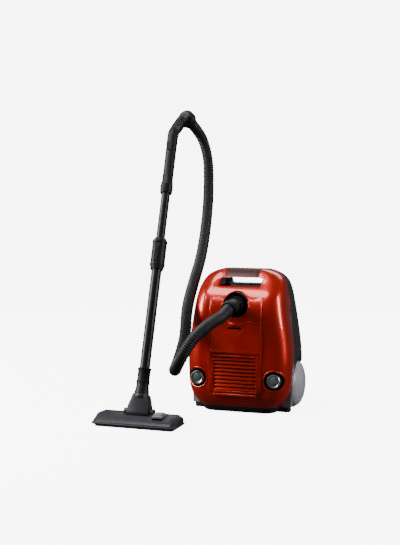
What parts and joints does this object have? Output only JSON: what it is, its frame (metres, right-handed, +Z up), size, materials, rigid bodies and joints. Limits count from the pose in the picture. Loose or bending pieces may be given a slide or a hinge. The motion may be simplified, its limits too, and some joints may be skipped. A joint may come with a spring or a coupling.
{
  "type": "canister vacuum cleaner",
  "caption": "Canister vacuum cleaner stood on its rear end, with a telescopic wand, floor head, ribbed hose, bag lid, wheels and swivel caster.",
  "frame": {"origin": "centre of the rear end, on the floor that the canister stands on", "axes": "+X to the canister's right seen from its top cover, -Y out of the top cover, +Z up from the rear end to the carry handle"},
  "size_m": [0.495, 0.6451, 0.8844],
  "materials": {
    "red_shell": "pearl red, clear-coated",
    "grip_red": "dark maroon, satin",
    "dark_housing": "fine-grained dark grey",
    "black_base": "grained black",
    "fender_grey": "mid grey, satin",
    "wheel_grey": "pale lavender grey, satin",
    "tyre": "soft black",
    "chrome_ring": "plated ring with a dark green centre",
    "black_plastic": "satin black",
    "gloss_black": "gloss black",
    "nozzle_charcoal": "charcoal, light grain",
    "pedal_grey": "grey",
    "hose_black": "ribbed dark grey",
    "inner_tube": "smooth satin black",
    "steel": "zinc-plated",
    "rubber": "soft",
    "bristle": "nylon bristle",
    "bag_paper": "pleated paper",
    "card": "grey-brown card",
    "foam": "open foam",
    "grey_plastic": "moulded grey",
    "copper": "enamelled winding",
    "board": "green laminate"
  },
  "bodies": {
    "root": {"upper_housing": "red_shell", "grip_insert": "grip_red", "lower_housing": "dark_housing", "housing_screws": "steel", "fender_right": "fender_grey", "fender_left": "fender_grey", "standing_base": "black_base", "lid_hinge_pins": "steel", "exhaust_filter": "foam", "inlet_ring": "black_plastic", "inlet_seal": "rubber", "power_spring": "steel", "rewind_spring": "steel", "button_bezels": "black_plastic", "power_switch": "grey_plastic", "control_board": "board", "wheel_axles": "steel", "caster_socket": "black_plastic", "chamber_floor": "grey_plastic", "motor_filter": "foam", "dust_bag": "bag_paper", "bag_collar": "card", "motor_housing": "grey_plastic", "motor_stator": "copper", "motor_mounts": "rubber", "motor_bearings": "steel", "reel_bracket": "grey_plastic", "cord_outlet": "rubber", "hose_elbow": "black_plastic", "outer_tube": "gloss_black", "telescope_collar": "black_plastic", "hose": "hose_black"},
    "upper_wand": {"inner_tube": "inner_tube", "handle": "black_plastic", "swivel_cuff": "black_plastic"},
    "relief": {"relief_slider": "gloss_black"},
    "collar_key": {"collar_button": "gloss_black"},
    "neck_joint": {"neck": "black_plastic", "swivel_yoke": "nozzle_charcoal"},
    "floor_head": {"nozzle_cover": "nozzle_charcoal", "sole_plate": "steel", "head_pins": "steel"},
    "pedal": {"brush_pedal": "pedal_grey"},
    "brushes": {"brush_strips": "bristle"},
    "floor_rollers": {"rollers": "rubber"},
    "lid": {"bag_lid": "red_shell"},
    "latch": {"lid_latch": "red_shell"},
    "grille": {"exhaust_grille": "red_shell"},
    "power_key": {"power_button": "chrome_ring"},
    "rewind_key": {"rewind_button": "chrome_ring"},
    "wheel_right_body": {"wheel_right": "wheel_grey", "tyre_right": "tyre"},
    "wheel_left_body": {"wheel_left": "wheel_grey", "tyre_left": "tyre"},
    "caster": {"caster_fork": "grey_plastic"},
    "caster_roller": {"caster_wheel": "tyre"},
    "rotor": {"motor_shaft": "steel", "fan": "steel"},
    "reel": {"reel_drum": "grey_plastic"},
    "brake": {"brake_lever": "grey_plastic"}
  },
  "joints": [
    {"name": "telescope", "type": "slide", "parent": "root", "child": "upper_wand", "axis": [-0.0226, 0.3843, 0.9229], "range_m": [-0.07, 0.25], "deforming": ["hose"]},
    {"name": "suction_relief", "type": "slide", "parent": "upper_wand", "child": "relief", "axis": [-0.0226, 0.3843, 0.9229], "range_m": [0, 0.015]},
    {"name": "collar_press", "type": "slide", "parent": "root", "child": "collar_key", "axis": [-0.0226, 0.3843, 0.9229], "range_m": [0, 0.008], "stiffness_N_per_m": 300, "springref_m": -0.003},
    {"name": "neck_swivel", "type": "hinge", "parent": "root", "child": "neck_joint", "pos_m": [-0.206, -0.336, 0.034], "axis": [-0.0226, 0.3843, 0.9229], "range_deg": [-45, 45]},
    {"name": "head_tilt", "type": "hinge", "parent": "neck_joint", "child": "floor_head", "pos_m": [-0.206, -0.336, 0.034], "axis": [1, 0, 0], "range_deg": [-20, 55]},
    {"name": "pedal_rock", "type": "hinge", "parent": "floor_head", "child": "pedal", "pos_m": [-0.144, -0.345, 0.028], "axis": [1, 0, 0], "range_deg": [0, 10]},
    {"name": "brush_drop", "type": "slide", "parent": "floor_head", "child": "brushes", "axis": [0, 0, -1], "range_m": [0, 0.002]},
    {"name": "roller_spin", "type": "hinge", "parent": "floor_head", "child": "floor_rollers", "pos_m": [-0.206, -0.319, 0.009], "axis": [1, 0, 0], "continuous": true},
    {"name": "lid_open", "type": "hinge", "parent": "root", "child": "lid", "pos_m": [0, -0.1225, 0.1765], "axis": [1, 0, 0], "range_deg": [0, 75]},
    {"name": "latch_press", "type": "slide", "parent": "lid", "child": "latch", "axis": [0, 0, -1], "range_m": [0, 0.004], "stiffness_N_per_m": 400, "springref_m": -0.002},
    {"name": "grille_pull", "type": "slide", "parent": "root", "child": "grille", "axis": [0, -1, 0], "range_m": [0, 0.03]},
    {"name": "power_press", "type": "slide", "parent": "root", "child": "power_key", "axis": [0, 1, 0], "range_m": [0, 0.004], "stiffness_N_per_m": 500, "springref_m": -0.002, "deforming": ["power_spring"]},
    {"name": "rewind_press", "type": "slide", "parent": "root", "child": "rewind_key", "axis": [0, 1, 0], "range_m": [0, 0.004], "stiffness_N_per_m": 500, "springref_m": -0.002, "deforming": ["rewind_spring"]},
    {"name": "wheel_right_spin", "type": "hinge", "parent": "root", "child": "wheel_right_body", "pos_m": [0.122, 0.027, 0.072], "axis": [1, 0, 0], "continuous": true},
    {"name": "wheel_left_spin", "type": "hinge", "parent": "root", "child": "wheel_left_body", "pos_m": [-0.122, 0.027, 0.072], "axis": [1, 0, 0], "continuous": true},
    {"name": "caster_swivel", "type": "hinge", "parent": "root", "child": "caster", "pos_m": [0, 0.1, 0.33], "axis": [0, 1, 0], "continuous": true},
    {"name": "caster_spin", "type": "hinge", "parent": "caster", "child": "caster_roller", "pos_m": [0, 0.112, 0.321], "axis": [1, 0, 0], "continuous": true},
    {"name": "motor_spin", "type": "hinge", "parent": "root", "child": "rotor", "pos_m": [-0.045, 0.01, 0.09], "axis": [0, 0, 1], "continuous": true},
    {"name": "reel_spin", "type": "hinge", "parent": "root", "child": "reel", "pos_m": [0.055, 0.015, 0.1], "axis": [1, 0, 0], "continuous": true},
    {"name": "brake_release", "type": "hinge", "parent": "root", "child": "brake", "pos_m": [0.07, -0.052, 0.146], "axis": [-1, 0, 0], "range_deg": [0, 6]}
  ],
  "couplings": [
    {"joint": "brush_drop", "follows": "pedal_rock", "m_per_rad": 0.0114},
    {"joint": "brake_release", "follows": "rewind_press", "rad_per_m": 20}
  ]
}
